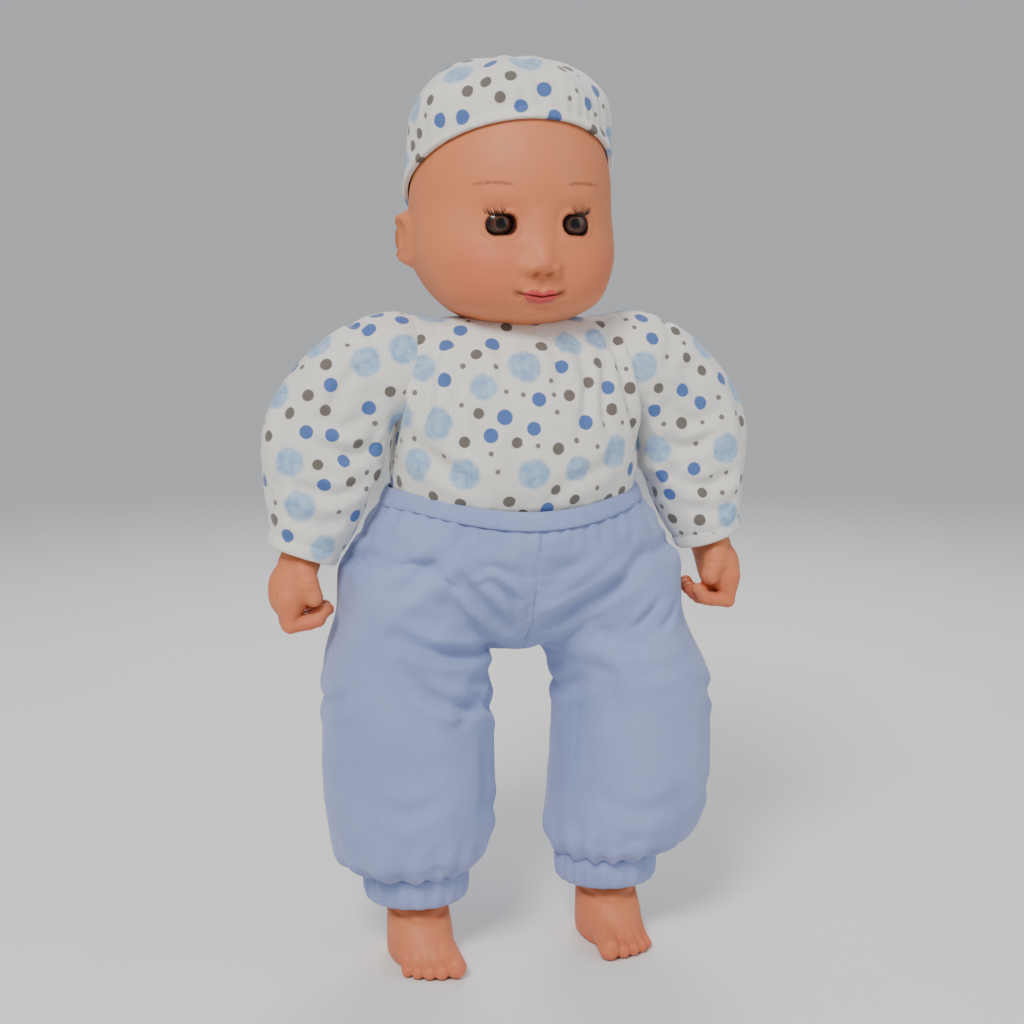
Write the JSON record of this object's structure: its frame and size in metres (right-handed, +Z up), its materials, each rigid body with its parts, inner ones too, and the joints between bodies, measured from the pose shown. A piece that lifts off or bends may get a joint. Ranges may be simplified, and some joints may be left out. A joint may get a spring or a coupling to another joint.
{
  "type": "interactive baby doll",
  "caption": "Soft-bodied baby doll with vinyl head, hands and feet, sleep eyes, cotton cap, dotted top, light blue trousers and a press-to-sound unit in its belly.",
  "frame": {"origin": "on the ground midway between the soles, under the middle of the doll's bounding box", "axes": "+Z up along the body from soles to cap, the doll faces -Y, its left side is on +X"},
  "size_m": [0.197, 0.0922, 0.3499],
  "materials": {
    "skin_vinyl": "soft vinyl, matt, evenly tinted",
    "eye_white": "smooth moulded plastic",
    "eye_brown": "clear dome over a dark brown iris",
    "lash_nylon": "dark nylon fibre",
    "steel": "plain steel",
    "white_plastic": "moulded plastic",
    "printed_cotton": "white cotton knit with a print of small dots and soft pale-blue spots",
    "white_cotton": "plain white cotton",
    "blue_cotton": "plain light blue cotton knit",
    "cuff_cotton": "gathered light blue rib",
    "polyester_fill": "loose polyester fibre",
    "tie_nylon": "nylon tie",
    "closure_tape": "woven hook-and-loop tape",
    "board_green": "printed circuit board",
    "black_plastic": "black moulded plastic",
    "button_pink": "smooth moulded plastic"
  },
  "bodies": {
    "torso": {"torso_cover": "printed_cotton", "torso_fill": "polyester_fill", "neck_tie": "tie_nylon", "closure_loop_strip": "closure_tape", "closure_hook_strip": "closure_tape", "trouser_seat": "blue_cotton", "waistband": "blue_cotton", "sound_case_front": "white_plastic", "sound_case_back": "white_plastic", "circuit_board": "board_green", "push_switch": "black_plastic", "sound_chip": "black_plastic", "speaker": "black_plastic", "button_cells": "steel", "battery_contacts": "steel", "battery_door": "white_plastic", "battery_door_screw": "steel", "case_screws": "steel"},
    "press_button": {"press_button": "button_pink", "button_spring": "steel"},
    "head": {"head_shell": "skin_vinyl", "cap": "printed_cotton", "cap_hem": "white_cotton", "eye_housing_left": "white_plastic", "eye_housing_right": "white_plastic"},
    "eye_left": {"eyeball_left": "eye_white", "eye_iris_left": "eye_brown", "eyelash_left": "lash_nylon", "eye_axle_left": "steel", "eye_weight_left": "steel"},
    "arm_left": {"sleeve_left": "printed_cotton", "arm_fill_left": "polyester_fill", "wrist_cuff_left": "printed_cotton", "wrist_tie_left": "tie_nylon"},
    "hand_left": {"hand_left": "skin_vinyl"},
    "leg_left": {"trouser_leg_left": "blue_cotton", "leg_fill_left": "polyester_fill", "ankle_cuff_left": "cuff_cotton", "ankle_tie_left": "tie_nylon"},
    "foot_left": {"foot_left": "skin_vinyl"},
    "eye_right": {"eyeball_right": "eye_white", "eye_iris_right": "eye_brown", "eyelash_right": "lash_nylon", "eye_axle_right": "steel", "eye_weight_right": "steel"},
    "arm_right": {"sleeve_right": "printed_cotton", "arm_fill_right": "polyester_fill", "wrist_cuff_right": "printed_cotton", "wrist_tie_right": "tie_nylon"},
    "hand_right": {"hand_right": "skin_vinyl"},
    "leg_right": {"trouser_leg_right": "blue_cotton", "leg_fill_right": "polyester_fill", "ankle_cuff_right": "cuff_cotton", "ankle_tie_right": "tie_nylon"},
    "foot_right": {"foot_right": "skin_vinyl"}
  },
  "joints": [
    {"name": "head_turn", "type": "hinge", "parent": "torso", "child": "head", "pos_m": [0, 0, 0.245], "axis": [0, 0, 1], "range_deg": [-70, 70]},
    {"name": "button_press", "type": "slide", "parent": "torso", "child": "press_button", "axis": [0, 1, 0], "range_m": [0, 0.0025], "stiffness_N_per_m": 600, "springref_m": -0.001, "deforming": ["button_spring"]},
    {"name": "eye_close_left", "type": "hinge", "parent": "head", "child": "eye_left", "pos_m": [0.01425, -0.0282, 0.29], "axis": [1, 0, 0], "range_deg": [0, 46]},
    {"name": "shoulder_left", "type": "hinge", "parent": "torso", "child": "arm_left", "pos_m": [0.05, 0, 0.236], "axis": [-1, 0, 0], "range_deg": [-30, 120]},
    {"name": "wrist_turn_left", "type": "hinge", "parent": "arm_left", "child": "hand_left", "pos_m": [0.0835, 0, 0.176], "axis": [0, 0, 1], "range_deg": [-60, 60]},
    {"name": "hip_left", "type": "hinge", "parent": "torso", "child": "leg_left", "pos_m": [0.0395, 0, 0.151], "axis": [-1, 0, 0], "range_deg": [-15, 85]},
    {"name": "ankle_turn_left", "type": "hinge", "parent": "leg_left", "child": "foot_left", "pos_m": [0.04, 0, 0.03], "axis": [0, 0, 1], "range_deg": [-40, 40]},
    {"name": "eye_close_right", "type": "hinge", "parent": "head", "child": "eye_right", "pos_m": [-0.01425, -0.0282, 0.29], "axis": [1, 0, 0], "range_deg": [0, 46]},
    {"name": "shoulder_right", "type": "hinge", "parent": "torso", "child": "arm_right", "pos_m": [-0.05, 0, 0.236], "axis": [-1, 0, 0], "range_deg": [-30, 120]},
    {"name": "wrist_turn_right", "type": "hinge", "parent": "arm_right", "child": "hand_right", "pos_m": [-0.0835, 0, 0.176], "axis": [0, 0, 1], "range_deg": [-60, 60]},
    {"name": "hip_right", "type": "hinge", "parent": "torso", "child": "leg_right", "pos_m": [-0.0395, 0, 0.151], "axis": [-1, 0, 0], "range_deg": [-15, 85]},
    {"name": "ankle_turn_right", "type": "hinge", "parent": "leg_right", "child": "foot_right", "pos_m": [-0.04, 0, 0.03], "axis": [0, 0, 1], "range_deg": [-40, 40]}
  ]
}
